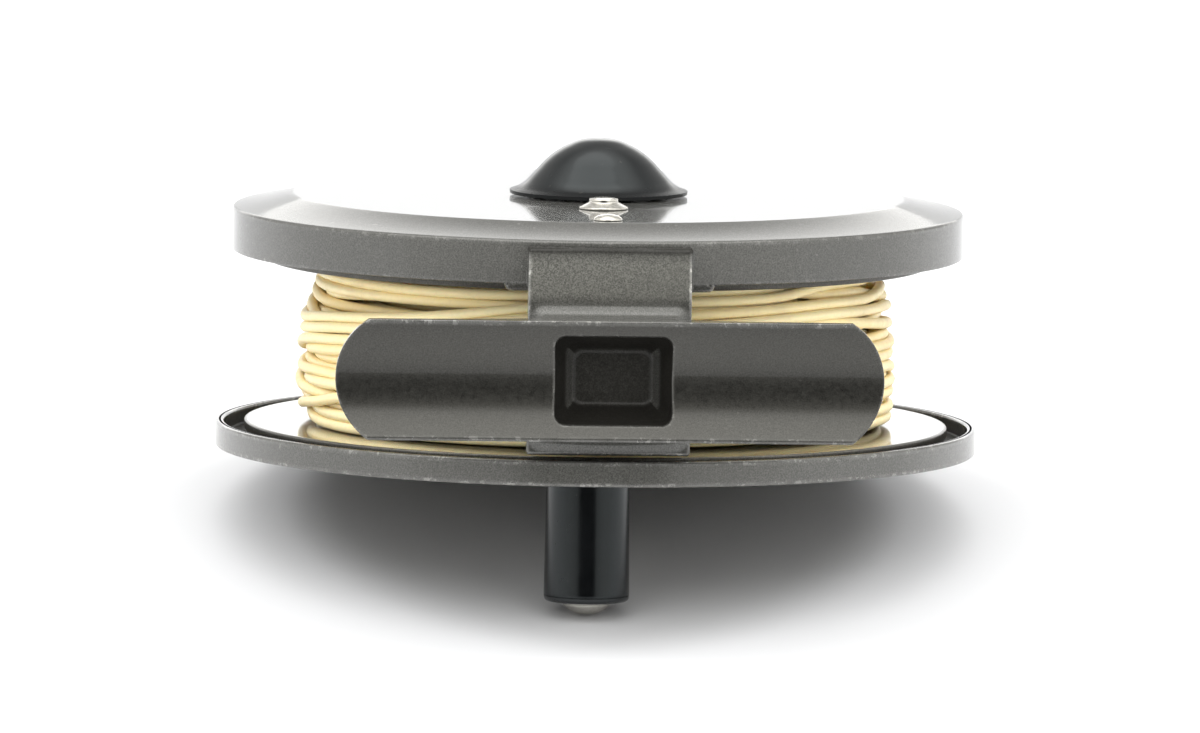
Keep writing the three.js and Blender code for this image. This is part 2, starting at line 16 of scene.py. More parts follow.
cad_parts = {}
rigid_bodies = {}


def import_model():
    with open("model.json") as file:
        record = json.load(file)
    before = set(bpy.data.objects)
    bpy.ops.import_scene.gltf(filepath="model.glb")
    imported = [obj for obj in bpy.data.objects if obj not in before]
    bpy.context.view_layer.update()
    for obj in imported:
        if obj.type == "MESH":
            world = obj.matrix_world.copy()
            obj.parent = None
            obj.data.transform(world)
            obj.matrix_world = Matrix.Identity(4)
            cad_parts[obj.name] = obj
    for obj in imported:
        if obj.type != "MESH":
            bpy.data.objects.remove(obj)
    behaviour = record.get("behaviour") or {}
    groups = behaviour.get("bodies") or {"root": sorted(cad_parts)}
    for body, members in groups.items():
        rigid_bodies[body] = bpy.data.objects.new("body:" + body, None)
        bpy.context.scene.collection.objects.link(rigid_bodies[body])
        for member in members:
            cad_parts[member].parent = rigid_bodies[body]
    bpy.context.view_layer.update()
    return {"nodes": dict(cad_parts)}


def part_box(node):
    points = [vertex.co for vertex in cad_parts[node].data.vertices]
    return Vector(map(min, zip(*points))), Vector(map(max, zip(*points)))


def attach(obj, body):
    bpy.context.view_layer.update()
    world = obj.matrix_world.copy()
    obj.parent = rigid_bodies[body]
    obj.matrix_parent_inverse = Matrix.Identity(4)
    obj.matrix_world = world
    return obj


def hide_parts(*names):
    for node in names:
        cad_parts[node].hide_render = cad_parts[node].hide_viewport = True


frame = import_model()

rim_lo, rim_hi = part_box("palming_rim")
ORIGIN = np.array(
    [(rim_lo.x + rim_hi.x) / 2, (rim_lo.y + rim_hi.y) / 2, rim_lo.z], float
)


def to_row(p):
    return np.asarray(p, float) * 0.001 + ORIGIN


# --------------------------------------------------------------------- camera


def make_camera():
    pitch, roll, yaw = 0.097485, 0.013756, math.radians(-2.0)
    away, high, side = 2009.4, 206.22, 0.4575
    right = Vector((math.cos(yaw), math.sin(yaw), 0))
    ahead = Vector((-math.sin(yaw), math.cos(yaw), 0))
    look = ahead * math.cos(pitch) - Vector((0, 0, 1)) * math.sin(pitch)
    up = ahead * math.sin(pitch) + Vector((0, 0, 1)) * math.cos(pitch)
    x = right * math.cos(roll) + up * math.sin(roll)
    y = -right * math.sin(roll) + up * math.cos(roll)
    place = to_row(right * side - ahead * away + Vector((0, 0, high)))
    data = bpy.data.cameras.new("camera")
    data.sensor_width = 36.0
    data.lens = 17044.43 * 36.0 / 1200.0
    data.clip_start, data.clip_end = 0.05, 60.0
    cam = bpy.data.objects.new("camera", data)
    bpy.context.scene.collection.objects.link(cam)
    m = Matrix((x, y, -look)).transposed().to_4x4()
    m.translation = Vector(place)
    cam.matrix_world = m
    bpy.context.scene.camera = cam


make_camera()

# ------------------------------------------------------------ mesh building


def new_object(name, verts_mm, faces, normals=None, sharp=None, attributes=None):
    me = bpy.data.meshes.new(name)
    me.from_pydata(to_row(verts_mm).tolist(), [], [list(map(int, f)) for f in faces])
    me.update()
    ob = bpy.data.objects.new(name, me)
    bpy.context.scene.collection.objects.link(ob)
    for key, values in (attributes or {}).items():
        a = me.attributes.new(key, "FLOAT", "POINT")
        a.data.foreach_set("value", np.asarray(values, np.float32))
    me.shade_smooth()
    if sharp is not None:
        me.set_sharp_from_angle(angle=math.radians(sharp))
    if normals is not None:
        me.normals_split_custom_set_from_vertices(np.asarray(normals).tolist())
    return ob


def rounded(points, radii, closed=False, n=5, land=0.3):
    """Fine [x, y, wear] points of a polyline with each corner rounded. wear is 1 on the round and 0 a little past it."""
    pts = [np.array(p[:2], float) for p in points]
    m = len(pts)
    out = []
    area = 0.0
    for i in range(m):
        a, b = pts[i], pts[(i + 1) % m]
        area += a[0] * b[1] - a[1] * b[0]
    for i in range(m):
        if not closed and i in (0, m - 1):
            out.append([*pts[i], 0.0])
            continue
        p, a, b = pts[i], pts[(i - 1) % m], pts[(i + 1) % m]
        r = radii[i] if isinstance(radii, (list, tuple)) else radii
        u, v = a - p, b - p
        lu, lv = np.linalg.norm(u), np.linalg.norm(v)
        if r <= 0 or lu < 1e-6 or lv < 1e-6:
            out.append([*p, 0.0])
            continue
        u, v = u / lu, v / lv
        turn = math.pi - math.acos(float(np.clip(u @ v, -1, 1)))
        if turn < 0.03:
            out.append([*p, 0.0])
            continue
        t = min(r * math.tan(turn / 2), 0.48 * min(lu, lv))
        r = t / math.tan(turn / 2)
        bis = (u + v) / np.linalg.norm(u + v)
        c = p + bis * math.hypot(r, t)
        s, e = p + u * t - c, p + v * t - c
        convex = ((p - a)[0] * (b - p)[1] - (p - a)[1] * (b - p)[0]) * area > 0
        w = 1.0 if convex and turn > 0.4 else 0.0
        if lu - t > land * 1.6:
            out.append([*(p + u * (t + land)), 0.0])
        a0 = math.atan2(s[1], s[0])
        da = math.atan2(s[0] * e[1] - s[1] * e[0], s @ e)
        for k in range(n + 1):
            q = a0 + da * k / n
            out.append([c[0] + r * math.cos(q), c[1] + r * math.sin(q), w])
        if lv - t > land * 1.6:
            out.append([*(p + v * (t + land)), 0.0])
    return out


def turned(name, profile, n=128, at=(0.0, 0.0), closed=False, sharp=45, painted_shade_and_dirt=None, keep=1.0):
    """A solid of revolution about the vertical through at. profile is [r, z, wear] points."""
    prof = [list(p) + [0.0] * (3 - len(p)) for p in profile]
    verts, wear, rings, faces = [], [], [], []
    ang = np.arange(n) / n * 2 * math.pi
    for r, z, w in prof:
        if r < 1e-6:
            rings.append([len(verts)] * n)
            verts.append([at[0], at[1], z])
            wear.append(w)
        else:
            rings.append(list(range(len(verts), len(verts) + n)))
            verts.extend(
                np.stack(
                    [at[0] + r * np.cos(ang), at[1] + r * np.sin(ang), np.full(n, z)], 1
                ).tolist()
            )
            wear.extend([w] * n)
    pairs = list(zip(rings[:-1], rings[1:]))
    if closed:
        pairs.append((rings[-1], rings[0]))
    for a, b in pairs:
        for i in range(n):
            j = (i + 1) % n
            f = [a[i], a[j], b[j], b[i]]
            f = [v for k, v in enumerate(f) if v != f[k - 1]]
            if len(f) > 2:
                faces.append(f)
    v = np.array(verts)
    volume = sum(
        float(np.dot(v[f[0]], np.cross(v[f[k]], v[f[k + 1]])))
        for f in faces
        for k in range(1, len(f) - 1)
    )
    if volume < 0:
        faces = [f[::-1] for f in faces]
    marks = {"wear": np.array(wear) * keep}
    if painted_shade_and_dirt:
        marks["painted_shade_and_dirt"] = painted_shade_and_dirt(np.hypot(v[:, 0] - at[0], v[:, 1] - at[1]), v[:, 2])
    return new_object(name, v, faces, sharp=sharp, attributes=marks)


# ---- distance fields, for the castings with fillets


def cut_round(a, b, r):
    """Intersection of two fields with a rounded edge of radius r."""
    u, v = np.maximum(a + r, 0), np.maximum(b + r, 0)
    return np.minimum(-r, np.maximum(a, b)) + np.sqrt(u * u + v * v)


def join_round(a, b, r):
    """Union of two fields with a fillet of radius r."""
    u, v = np.maximum(r - a, 0), np.maximum(r - b, 0)
    return np.maximum(r, np.minimum(a, b)) - np.sqrt(u * u + v * v)


def d_box(p, centre, half, r=0.0):
    q = [np.abs(p[k] - centre[k]) - half[k] + r for k in range(3)]
    out = np.sqrt(sum(np.maximum(x, 0) ** 2 for x in q))
    return out + np.minimum(np.maximum(np.maximum(q[0], q[1]), q[2]), 0) - r


def d_round3(a, b, c, r):
    """Intersection of three fields that are square to each other, with rounded edges."""
    q = [k + r for k in (a, b, c)]
    out = np.sqrt(sum(np.maximum(k, 0) ** 2 for k in q))
    return out + np.minimum(np.maximum(np.maximum(q[0], q[1]), q[2]), 0) - r


def d_rect(x, y, hx, hy, r):
    qx, qy = np.abs(x) - hx + r, np.abs(y) - hy + r
    return (
        np.hypot(np.maximum(qx, 0), np.maximum(qy, 0))
        + np.minimum(np.maximum(qx, qy), 0)
        - r
    )


def d_outline(poly, x, y):
    """Signed distance to a closed polygon."""
    best = np.full(np.shape(x), 1e9)
    inside = np.zeros(np.shape(x), bool)
    m = len(poly)
    for i in range(m):
        (ax, ay), (bx, by) = poly[i][:2], poly[(i + 1) % m][:2]
        ex, ey = bx - ax, by - ay
        wx, wy = x - ax, y - ay
        t = np.clip((wx * ex + wy * ey) / max(ex * ex + ey * ey, 1e-12), 0, 1)
        best = np.minimum(best, (wx - ex * t) ** 2 + (wy - ey * t) ** 2)
        hit = ((ay > y) != (by > y)) & (x < (bx - ax) * (y - ay) / ((by - ay) or 1e-12) + ax)
        inside ^= hit
    return np.where(inside, -1.0, 1.0) * np.sqrt(best)


def field_mesh(name, f, lo, hi, h, shade=None, marks=None, spare=None):
    """A mesh of the surface where field f is 0, with its points moved onto it and its normals taken from it."""
    lo, hi = np.array(lo, float), np.array(hi, float)
    count = np.ceil((hi - lo) / h).astype(int) + 1
    ax = [lo[k] + h * np.arange(count[k]) for k in range(3)]
    values = np.empty(count, np.float32)
    for i in range(0, count[0], 16):
        grid = np.meshgrid(ax[0][i : i + 16], ax[1], ax[2], indexing="ij")
        values[i : i + 16] = f(grid)
    field = openvdb.FloatGrid(4 * h)
    field.copyFromArray(values)
    points, quads = field.convertToQuads(0.0)
    p = points.astype(float) * h + lo

    def slope(fn, p, e=0.004):
        g = np.empty_like(p)
        for k in range(3):
            d = np.zeros(3)
            d[k] = e
            g[:, k] = (fn((p + d).T) - fn((p - d).T)) / (2 * e)
        return g

    for _ in range(4):
        g = slope(f, p)
        step = f(p.T)[:, None] * g / np.maximum((g * g).sum(1), 0.05)[:, None]
        p -= np.clip(step, -0.6 * h, 0.6 * h)
    fn = shade or f
    n = slope(fn, p, 0.02)
    n /= np.maximum(np.linalg.norm(n, axis=1), 1e-9)[:, None]
    e = 0.3
    q = p.T
    bend = sum(
        fn(q + s * np.eye(3)[k][:, None] * e) for k in range(3) for s in (-1, 1)
    ) - 6 * fn(q)
    wear = np.clip((bend / e**2 - 0.9) / 1.6, 0, 1)
    if spare:
        wear *= spare(p.T)
    a, b, c = p[quads[:, 0]], p[quads[:, 1]], p[quads[:, 2]]
    facing = (np.cross(b - a, c - a) * n[quads[:, 0]]).sum(1).sum()
    if facing < 0:
        quads = quads[:, ::-1]
    extra = {key: g(p.T) for key, g in (marks or {}).items()}
    return new_object(name, p, quads, normals=n, attributes={"wear": wear, **extra})


# ------------------------------------------------------------------ materials


class Nodes:
    """A short way to write a material's node tree."""

    def __init__(self, name):
        self.mat = bpy.data.materials.new(name)
        self.mat.use_nodes = True
        self.tree = self.mat.node_tree
        self.tree.nodes.clear()
        self.out = self.tree.nodes.new("ShaderNodeOutputMaterial")
        self.shader = self.tree.nodes.new("ShaderNodeBsdfPrincipled")
        self.tree.links.new(self.shader.outputs[0], self.out.inputs[0])
        self.coord = self.tree.nodes.new("ShaderNodeTexCoord").outputs["Object"]

    def put(self, socket, value):
        if isinstance(value, bpy.types.NodeSocket):
            self.tree.links.new(value, socket)
        else:
            socket.default_value = value

    def set(self, **values):
        for key, value in values.items():
            self.put(self.shader.inputs[key.replace("_", " ")], value)
        return self

    def node(self, kind, **inputs):
        n = self.tree.nodes.new(kind)
        for key, value in inputs.items():
            self.put(n.inputs[key.replace("_", " ")], value)
        return n

    def noise(self, scale, detail=2.0, rough=0.5, stretch=None, at=None):
        vector = at or self.coord
        if stretch:
            m = self.node("ShaderNodeMapping", Vector=vector)
            m.inputs["Scale"].default_value = stretch
            vector = m.outputs[0]
        n = self.node("ShaderNodeTexNoise", Vector=vector, Scale=scale, Detail=detail)
        n.inputs["Roughness"].default_value = rough
        return n.outputs["Fac"]

    def ramp(self, fac, stops):
        n = self.node("ShaderNodeValToRGB", Fac=fac)
        els = n.color_ramp.elements
        while len(els) < len(stops):
            els.new(0.5)
        for el, (pos, col) in zip(els, stops):
            el.position = pos
            el.color = (*col, 1) if hasattr(col, "__len__") else (col, col, col, 1)
        return n.outputs["Color"]

    def math(self, op, a, b=0.0, clamp=False):
        n = self.tree.nodes.new("ShaderNodeMath")
        n.operation, n.use_clamp = op, clamp
        self.put(n.inputs[0], a)
        self.put(n.inputs[1], b)
        return n.outputs[0]

    def span(self, value, a, b, c, d):
        n = self.tree.nodes.new("ShaderNodeMapRange")
        for k, v in zip(("Value", "From Min", "From Max", "To Min", "To Max"), (value, a, b, c, d)):
            self.put(n.inputs[k], v)
        return n.outputs[0]

    def mix(self, fac, a, b, kind="MIX"):
        n = self.tree.nodes.new("ShaderNodeMix")
        n.data_type, n.blend_type = "RGBA", kind
        n.clamp_factor = True
        self.put(n.inputs[0], fac)
        for socket, value in ((n.inputs[6], a), (n.inputs[7], b)):
            self.put(socket, (*value, 1) if isinstance(value, tuple) else value)
        return n.outputs[2]

    def attribute(self, name):
        n = self.tree.nodes.new("ShaderNodeAttribute")
        n.attribute_name = name
        return n.outputs["Fac"]

    def bump(self, height, strength, distance, normal=None):
        n = self.node("ShaderNodeBump", Height=height, Strength=strength, Distance=distance)
        if normal:
            self.put(n.inputs["Normal"], normal)
        return n.outputs[0]


def gunmetal(name, base=(0.108, 0.107, 0.098), rough=0.62, edge=1.0, coat=1.0):
    """Grey metallic paint on cast alloy: fine flake and orange peel, rubbed bright along its edges, with small chips
    and handling marks. Its marks also paint shade into the colour (the foot's trough, its pocket, the pillar top, the
    spool's flanges and the rim groove) and a painted highlight on the pillar face.
    """
    m = Nodes(name)
    flake = m.noise(6200, 1.5, 0.6)
    grain = m.noise(1500, 3.0, 0.65)
    cloud = m.noise(55, 3.0, 0.55)
    tone = m.mix(
        m.span(flake, 0.36, 0.64, 0, 1),
        tuple(c * 0.58 for c in base),
        tuple(c * 1.46 for c in base),
    )
    tone = m.mix(m.span(grain, 0.35, 0.7, 0.0, 0.5), tone, tuple(c * 1.12 for c in base))
    tone = m.mix(m.span(cloud, 0.35, 0.75, 0.0, 0.35), tone, tuple(c * 0.8 for c in base))
    # wear: the paint is thin on edges and gone in chips
    w = m.attribute("wear")
    breakup = m.noise(420, 4.0, 0.7)
    rub = m.math("MULTIPLY", w, m.span(breakup, 0.36, 0.62, 0.12, 1.0), True)
    chips = m.math("MULTIPLY", w, m.ramp(m.noise(900, 3.0, 0.8), [(0.57, 0.0), (0.6, 1.0)]), True)
    specks = m.ramp(m.noise(700, 1.0, 0.5), [(0.785, 0.0), (0.8, 1.0)])
    tone = m.mix(m.math("MULTIPLY", rub, 0.3 * edge), tone, (0.36, 0.355, 0.34))
    tone = m.mix(m.math("MULTIPLY", chips, 0.4 * edge), tone, (0.6, 0.59, 0.56))
    tone = m.mix(m.math("MULTIPLY", specks, 0.22), tone, (0.5, 0.49, 0.45))
    scratch = m.ramp(
        m.noise(160, 2.0, 0.6, stretch=(1.0, 9.0, 3.0)), [(0.66, 0.0), (0.7, 1.0)]
    )
    r = m.span(grain, 0.3, 0.7, rough - 0.05, rough + 0.07)
    r = m.math("ADD", r, m.math("MULTIPLY", scratch, -0.04))
    # the trough of the foot is smoother (lower roughness, less coat), and its colour is darkened there as painted shade
    polish_and_painted_shade = m.attribute("polish_and_painted_shade")
    r = m.math("SUBTRACT", r, m.math("MULTIPLY", polish_and_painted_shade, rough - 0.33))
    r = m.math("ADD", r, m.math("MULTIPLY", m.attribute("painted_shade_and_dirt"), 0.2), True)
    tone = m.mix(m.math("MULTIPLY", polish_and_painted_shade, 0.72), tone, (0.034, 0.0325, 0.028))
    # painted highlight: where the mark is set, on the face of the pillar above the foot, the colour is lightened
    tone = m.mix(m.attribute("painted_highlight"), tone, m.mix(1.0, tone, (1.75, 1.75, 1.72), "MULTIPLY"))
    # painted shade: where this mark is set the colour goes towards black (the pocket in the foot, the top of the
    # pillar, the spool's back flange, the groove inside the rim); on the ring's top slope it is only a little darker
    # and rougher
    tone = m.mix(m.math("MULTIPLY", m.attribute("painted_shade_and_dirt"), 0.88), tone, (0.012, 0.0105, 0.008))
    m.set(Base_Color=tone, Metallic=0.82, Roughness=r)
    height = m.math("ADD", m.math("MULTIPLY", grain, 0.6), m.math("MULTIPLY", flake, 0.4))
    facing = m.node("ShaderNodeSeparateXYZ", Vector=m.tree.nodes.new("ShaderNodeTexCoord").outputs["Normal"]).outputs["Z"]
    relief = m.span(m.math("ABSOLUTE", facing), 0.6, 0.95, 0.3, 0.03)
    m.set(Normal=m.bump(height, relief, 0.00004))
    dull = m.math("MAXIMUM", m.math("MULTIPLY", polish_and_painted_shade, 0.6), m.attribute("painted_shade_and_dirt"))
    m.set(Coat_Weight=m.math("MULTIPLY", m.math("SUBTRACT", 1.0, dull), coat))
    m.shader.inputs["Coat Roughness"].default_value = 0.07
    m.shader.inputs["Coat IOR"].default_value = 1.5
    return m.mat


def bright_metal(name, base, rough, edge=0.3, brushed=None):
    m = Nodes(name)
    fine = m.noise(2600, 2.0, 0.6, stretch=brushed)
    cloud = m.noise(300, 3.0, 0.6)
    tone = m.mix(m.span(fine, 0.3, 0.7, 0, 1), tuple(c * 0.86 for c in base), tuple(min(1, c * 1.1) for c in base))
    tone = m.mix(m.span(cloud, 0.5, 0.75, 0, 0.4), tone, tuple(c * 0.6 for c in base))
    m.set(
        Base_Color=tone,
        Metallic=1.0,
        Roughness=m.span(fine, 0.25, 0.75, rough * 0.8, rough * 1.3),
        Normal=m.bump(fine, 0.15, 0.00002),
    )
    return m.mat


def black_gloss(name):
    """Black moulded plastic, polished by use, with faint haze and hair scratches."""
    m = Nodes(name)
    haze = m.noise(240, 4.0, 0.6)
    dust = m.ramp(m.noise(1900, 1.0, 0.5), [(0.74, 0.0), (0.78, 1.0)])
    hair = m.ramp(m.noise(150, 2.0, 0.7, stretch=(1.0, 14.0, 5.0)), [(0.655, 0.0), (0.69, 1.0)])
    tone = m.mix(m.span(haze, 0.3, 0.7, 0, 1), (0.0028, 0.0032, 0.0036), (0.006, 0.0066, 0.0072))
    tone = m.mix(m.math("MULTIPLY", dust, 0.12), tone, (0.16, 0.15, 0.13))
    tone = m.mix(m.math("MULTIPLY", m.attribute("wear"), 0.25), tone, (0.05, 0.05, 0.052))
    r = m.span(haze, 0.3, 0.7, 0.11, 0.2)
    r = m.math("ADD", r, m.math("MULTIPLY", hair, 0.09))
    # where the dirt mark is set (the knob's brim) the surface is rougher and less specular; the colour is not changed
    r = m.math("ADD", r, m.math("MULTIPLY", m.attribute("painted_shade_and_dirt"), 0.15))
    m.set(Specular_IOR_Level=m.math("MULTIPLY", m.math("SUBTRACT", 1.0, m.attribute("painted_shade_and_dirt")), 0.5))
    m.set(Base_Color=tone, Roughness=r, Normal=m.bump(m.noise(900, 2.0), 0.06, 0.00003))
    m.shader.inputs["IOR"].default_value = 1.4
    m.shader.inputs["Specular Tint"].default_value = (0.9, 0.985, 1.0, 1)
    m.shader.inputs["Coat Weight"].default_value = 0.0
    m.shader.inputs["Coat Roughness"].default_value = 0.12
    return m.mat


def line_plastic(name):
    """Cream PVC coating of a fly line, a little yellowed and soiled, with fine checks."""
    m = Nodes(name)
    along = m.attribute("along")
    slow = m.node("ShaderNodeCombineXYZ", X=along)
    tone_noise = m.noise(1.0, 3.0, 0.6, at=slow.outputs[0], stretch=(9.0, 1.0, 1.0))
    tone = m.mix(m.span(tone_noise, 0.3, 0.7, 0, 1), (0.88, 0.69, 0.34), (0.93, 0.81, 0.5))
    soil = m.noise(110, 4.0, 0.65)
    tone = m.mix(m.span(soil, 0.5, 0.72, 0, 0.3), tone, (0.50, 0.385, 0.21))
    fine = m.noise(1600, 3.0, 0.6)
    tone = m.mix(m.span(fine, 0.5, 0.75, 0, 0.15), tone, (0.56, 0.44, 0.27))
    m.set(
        Base_Color=tone,
        Roughness=m.span(fine, 0.3, 0.7, 0.36, 0.55),
        Normal=m.bump(fine, 0.18, 0.00003),
    )
    m.shader.inputs["Subsurface Weight"].default_value = 0.35
    m.shader.inputs["Subsurface Radius"].default_value = (0.0012, 0.0008, 0.0004)
    m.shader.inputs["Subsurface Scale"].default_value = 1.0
    return m.mat


def braid(name):
    m = Nodes(name)
    n = m.noise(900, 3.0, 0.6, stretch=(1, 1, 4))
    tone = m.mix(m.span(n, 0.3, 0.7, 0, 1), (0.42, 0.4, 0.35), (0.72, 0.7, 0.64))
    m.set(Base_Color=tone, Roughness=0.9, Normal=m.bump(n, 0.6, 0.0002))
    return m.mat


M = {
    "frame": gunmetal("gunmetal_paint"),
    "rim": gunmetal("gunmetal_paint_rim", rough=0.55, edge=1.1),
    "cover": gunmetal("gunmetal_paint_cover", rough=0.4),
    "spool": gunmetal("spool_finish", base=(0.30, 0.29, 0.26), rough=0.2, edge=0.6, coat=1.0),
    "black": black_gloss("black_plastic_polished"),
    "nickel": bright_metal("nickel_rivet", (0.62, 0.6, 0.55), 0.2),
    "steel": bright_metal("machined_steel", (0.42, 0.42, 0.41), 0.3, brushed=(1, 1, 12)),
    "spring": bright_metal("spring_steel_blued", (0.16, 0.17, 0.2), 0.3),
    "brass": bright_metal("machined_brass", (0.60, 0.42, 0.17), 0.3, brushed=(1, 1, 10)),
    "line": line_plastic("line_coating"),
    "braid": braid("braided_backing"),
}


def dress(ob, mat, body, nodes=()):
    ob.data.materials.clear()
    ob.data.materials.append(mat)
    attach(ob, body)
    if nodes:
        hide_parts(*nodes)
    return ob


# ------------------------------------------------------------------ fly line

LINE_D = 1.3
LINE_LENGTH = 27.4  # metres, a 90 ft line


def outer_shape(z):
    """How the outside of the winding falls away near the flanges."""
    return np.interp(z, [3.2, 5, 7, 12, 17, 20.5, 22.3], [-0.4, -0.1, 0.1, 0.1, -0.35, -1.4, -2.4])


def wind_line(start_r, seed, noise=0.2, tight=4.0, sink=0.2, loose=2.0):
    """Centreline of the whole line, laid a quarter turn at a time on what is already wound.

    Each quarter turn the hand lets the line drift towards a low place. The line rides over
    what it crosses, sinks a little into it, and falls back as fast as its tension allows.
    """
    rng = np.random.default_rng(seed)
    a, per, q = LINE_D / 2, 96, 24
    step = 2 * math.pi / per
    zlo, zhi, dz = 3.20, 22.28, 0.08
    cells = np.arange(zlo, zhi, dz)
    height = np.full((per, len(cells)), start_r)
    low, high = zlo + a + 0.03, zhi - a - 0.05
    want = outer_shape(cells)
    moves = [s * m for m in (0.1, 0.34, 0.7, 1.2, 1.8, 2.6, 3.6, 5.0) for s in (1, -1)]
    t = np.arange(q) / q
    h00, h10 = 2 * t**3 - 3 * t**2 + 1, t**3 - 2 * t**2 + t
    h01, h11 = -2 * t**3 + 3 * t**2, t**3 - t**2
    reach = int(a / dz) + 1

    def needs(idx, zs):
        need = np.empty(q)
        for j in range(q):
            c = int((zs[j] - zlo) / dz)
            k0, k1 = max(0, c - reach), min(len(cells), c + reach + 2)
            d = cells[k0:k1] - zs[j]
            v = a * a - d * d
            ok = v > 0
            need[j] = (height[idx[j], k0:k1][ok] + np.sqrt(v[ok])).max()
        return need

    pts, total, quarter, z, slope, drift, last, laid = [], 0.0, 0, low, 0.0, 0.3, None, None
    while total < LINE_LENGTH * 1000:
        idx = (quarter * q + np.arange(q)) % per
        level = (height - want).mean()
        mess = float(np.clip((level - 26) / 6, 0.3, 1))
        if level > 32.6:
            mess = 1.0 + loose * rng.random()
        best = None
        for m in moves:
            end = z + m
            if low <= end <= high:
                zs = np.clip(h00 * z + h10 * slope + h01 * end + h11 * m * 0.5, low, high)
                need = needs(idx, zs) - np.interp(zs, cells, want) - level
                score = -need.mean() - need.max() * 0.55 - abs(m) * 0.1 / mess
                score -= 2.5 * max(0.0, need.max() - 0.9) ** 2
                score += rng.normal(0, noise * mess) - abs(m - drift) * 0.05
                if best is None or score > best[0]:
                    best = (score, m, zs, end)
        _, drift, zs, z = best
        slope = drift * 0.5
        zs = np.clip(zs + rng.normal(0, 0.05 * mess) * np.sin(np.pi * t), low, high)
        now = (idx, zs, needs(idx, zs))
        if laid is not None:
            i0, z0, n0 = laid
            nn = np.concatenate([n0, now[2]])
            lift = nn.copy()
            for s in range(1, 8):
                near = nn - nn * (1 - math.cos(s * step)) * tight
                lift[s:] = np.maximum(lift[s:], near[:-s])
                lift[:-s] = np.maximum(lift[:-s], near[s:])
            for _ in range(4):
                lift[1:-1] = (lift[:-2] + 2 * lift[1:-1] + lift[2:]) / 4
                lift = np.maximum(lift, nn - sink)
            r0 = lift[:q].copy()
            if last is not None:
                gap = last - r0[0]
                r0 += gap * np.exp(-np.arange(q) / 2.2) * (1 if gap > 0 else 0.35)
            for j in range(q):
                d = cells - z0[j]
                near = np.abs(d) < a
                height[i0[j], near] = np.maximum(
                    height[i0[j], near], r0[j] + np.sqrt(a * a - d[near] ** 2) - 0.05
                )
                phi = -step * ((quarter - 1) * q + j) + 0.6
                p = (r0[j] * math.cos(phi), r0[j] * math.sin(phi), z0[j])
                if pts:
                    total += math.dist(pts[-1], p)
                pts.append(p)
                if total >= LINE_LENGTH * 1000:
                    break
            last = r0[j]
        laid = now
        quarter += 1
    return np.array(pts), quarter / 4, height


def settle(line, cap, rounds=90, per=96):
    """Strands of the outer turns that lie too deep in each other slide apart, under the outside shape."""
    n = len(line)
    turns = -(-n // per)
    rz = np.full((turns * per, 2), 1e4)
    rz[n:, 0] += 50.0 * np.arange(turns * per - n)
    rz[:n, 0], rz[:n, 1] = np.hypot(line[:, 0], line[:, 1]), line[:, 2]
    mean_r = rz[: (turns - 1) * per, 0].reshape(turns - 1, per).mean(1)
    use = np.append(mean_r > 28.0, True)
    start = rz.copy()
    free = np.clip((start[:, 0] - 29.5) / 1.5, 0, 1) * (np.arange(turns * per) < n)
    low, high = 3.2 + LINE_D / 2 + 0.03, 22.28 - LINE_D / 2 - 0.05
    far = np.eye(int(use.sum())) * 99
    for _ in range(rounds):
        a = rz.reshape(turns, per, 2)[use].transpose(1, 0, 2)
        d = a[:, :, None, :] - a[:, None, :, :]
        dist = np.sqrt((d**2).sum(-1)) + far + 1e-6
        over = np.clip(LINE_D - 0.03 - dist, 0, None)
        push = (d * (over / dist * 0.4)[..., None]).sum(2)
        full = np.zeros((turns, per, 2))
        full[use] = push.transpose(1, 0, 2)
        full = full.reshape(-1, 2) * free[:, None]
        for _ in range(2):
            full[1:-1] = (full[:-2] + 2 * full[1:-1] + full[2:]) / 4
        rz += full
        bend = np.zeros_like(rz)
        bend[1 : n - 1] = (rz[: n - 2] + rz[2:n]) / 2 - rz[1 : n - 1]
        rz += bend * (0.15 * free)[:, None]
        high_r = np.maximum(rz[:, 0] - cap - outer_shape(rz[:, 1]), 0) * (free > 0)
        rz[:, 0] -= high_r * 0.12
        rz[:n, 1] = np.clip(rz[:n, 1], low, high)
    out = line.copy()
    out[:, :2] *= (rz[:n, 0] / start[:n, 0])[:, None]
    out[:, 2] = rz[:n, 1]
    return out


START_R = 16.0


def tube(name, line, radius, fine_from, sides=(6, 10), skip=3):
    """A round tube on a centreline; its buried turns are coarser than the ones that show."""
    keep = []
    i = 0
    r = np.hypot(line[:, 0], line[:, 1])
    while i < len(line) - 1:
        keep.append(i)
        i += 1 if r[i] > fine_from else skip
    keep.append(len(line) - 1)
    c = line[keep]
    fine = r[keep] > fine_from
    t = np.gradient(c, axis=0)
    t /= np.linalg.norm(t, axis=1)[:, None]
    outward = np.stack([c[:, 0], c[:, 1], np.zeros(len(c))], 1)
    outward /= np.linalg.norm(outward, axis=1)[:, None]
    u = outward - (outward * t).sum(1)[:, None] * t
    u /= np.linalg.norm(u, axis=1)[:, None]
    w = np.cross(t, u)
    n = sides[1]
    ang = np.arange(n) / n * 2 * math.pi
    rad = np.full(len(c), radius)
    verts = (
        c[:, None, :]
        + rad[:, None, None]
        * (np.cos(ang)[None, :, None] * u[:, None, :] + np.sin(ang)[None, :, None] * w[:, None, :])
    ).reshape(-1, 3)
    m = len(c)
    i = np.arange(m - 1)[:, None] * n
    k = np.arange(n)[None, :]
    k2 = (k + 1) % n
    faces = np.stack([i + k, i + k2, i + n + k2, i + n + k], -1).reshape(-1, 4).tolist()
    faces.append(list(range(n))[::-1])
    faces.append(list(range((m - 1) * n, m * n)))
    along = np.concatenate([[0], np.cumsum(np.linalg.norm(np.diff(c, axis=0), axis=1))]) * 0.001
    ob = new_object(name, verts, faces, attributes={"along": np.repeat(along, n)})
    return ob, c


